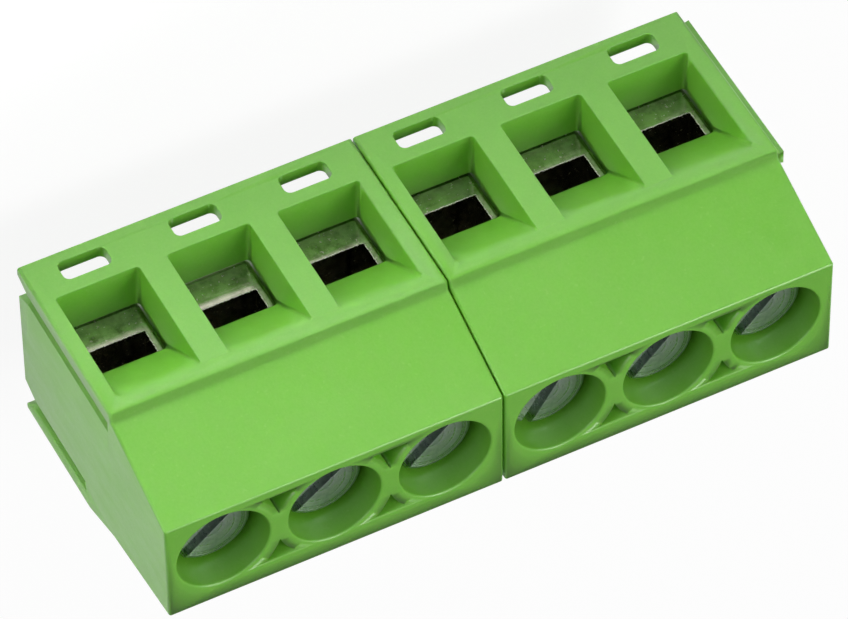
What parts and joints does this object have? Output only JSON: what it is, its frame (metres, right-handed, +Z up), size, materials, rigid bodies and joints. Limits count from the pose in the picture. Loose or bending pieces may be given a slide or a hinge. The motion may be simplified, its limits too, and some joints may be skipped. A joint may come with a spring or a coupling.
{
  "type": "screw terminal block",
  "caption": "Green terminal block for a circuit board, with wire funnels in front, slotted screws in round wells on top, and rising clamp cages inside.",
  "frame": {"origin": "middle of the row of solder pins, on the surface of the circuit board", "axes": "+X along the row towards the end with the grooves, +Y away from the side that the wires enter, +Z up from the board towards the screws"},
  "size_m": [0.0314, 0.0091, 0.0172],
  "materials": {
    "housing": "moulded, satin",
    "cage": "bright nickel plate, scratched",
    "contact": "tin plate",
    "screw": "zinc plate, turned"
  },
  "bodies": {
    "block": {"housing_1": "housing", "housing_2": "housing", "contact_1": "contact", "contact_2": "contact", "contact_3": "contact", "contact_4": "contact", "contact_5": "contact", "contact_6": "contact"},
    "clamp_screw_1": {"screw_1": "screw"},
    "clamp_cage_1": {"cage_1": "cage"},
    "clamp_screw_2": {"screw_2": "screw"},
    "clamp_cage_2": {"cage_2": "cage"},
    "clamp_screw_3": {"screw_3": "screw"},
    "clamp_cage_3": {"cage_3": "cage"},
    "clamp_screw_4": {"screw_4": "screw"},
    "clamp_cage_4": {"cage_4": "cage"},
    "clamp_screw_5": {"screw_5": "screw"},
    "clamp_cage_5": {"cage_5": "cage"},
    "clamp_screw_6": {"screw_6": "screw"},
    "clamp_cage_6": {"cage_6": "cage"}
  },
  "joints": [
    {"name": "cage_rise_1", "type": "slide", "parent": "block", "child": "clamp_cage_1", "axis": [0, 0, 1], "range_m": [-0.00125, 0.00147]},
    {"name": "screw_turn_1", "type": "hinge", "parent": "block", "child": "clamp_screw_1", "pos_m": [-0.01283, -0.00278, 0.01246], "axis": [0, 0, 1], "range_deg": [-1177, 1001]},
    {"name": "cage_rise_2", "type": "slide", "parent": "block", "child": "clamp_cage_2", "axis": [0, 0, 1], "range_m": [-0.0013, 0.00142]},
    {"name": "screw_turn_2", "type": "hinge", "parent": "block", "child": "clamp_screw_2", "pos_m": [-0.00775, -0.00278, 0.01246], "axis": [0, 0, 1], "range_deg": [-1137, 1041]},
    {"name": "cage_rise_3", "type": "slide", "parent": "block", "child": "clamp_cage_3", "axis": [0, 0, 1], "range_m": [-0.00115, 0.00157]},
    {"name": "screw_turn_3", "type": "hinge", "parent": "block", "child": "clamp_screw_3", "pos_m": [-0.00267, -0.00278, 0.01246], "axis": [0, 0, 1], "range_deg": [-1257, 921]},
    {"name": "cage_rise_4", "type": "slide", "parent": "block", "child": "clamp_cage_4", "axis": [0, 0, 1], "range_m": [-0.00136, 0.00136]},
    {"name": "screw_turn_4", "type": "hinge", "parent": "block", "child": "clamp_screw_4", "pos_m": [0.00267, -0.00278, 0.01246], "axis": [0, 0, 1], "range_deg": [-1089, 1089]},
    {"name": "cage_rise_5", "type": "slide", "parent": "block", "child": "clamp_cage_5", "axis": [0, 0, 1], "range_m": [-0.00154, 0.00118]},
    {"name": "screw_turn_5", "type": "hinge", "parent": "block", "child": "clamp_screw_5", "pos_m": [0.00775, -0.00278, 0.01246], "axis": [0, 0, 1], "range_deg": [-945, 1233]},
    {"name": "cage_rise_6", "type": "slide", "parent": "block", "child": "clamp_cage_6", "axis": [0, 0, 1], "range_m": [-0.00142, 0.0013]},
    {"name": "screw_turn_6", "type": "hinge", "parent": "block", "child": "clamp_screw_6", "pos_m": [0.01283, -0.00278, 0.01246], "axis": [0, 0, 1], "range_deg": [-1041, 1137]}
  ],
  "couplings": [
    {"joint": "screw_turn_1", "follows": "cage_rise_1", "rad_per_m": -13963},
    {"joint": "screw_turn_2", "follows": "cage_rise_2", "rad_per_m": -13963},
    {"joint": "screw_turn_3", "follows": "cage_rise_3", "rad_per_m": -13963},
    {"joint": "screw_turn_4", "follows": "cage_rise_4", "rad_per_m": -13963},
    {"joint": "screw_turn_5", "follows": "cage_rise_5", "rad_per_m": -13963},
    {"joint": "screw_turn_6", "follows": "cage_rise_6", "rad_per_m": -13963}
  ]
}
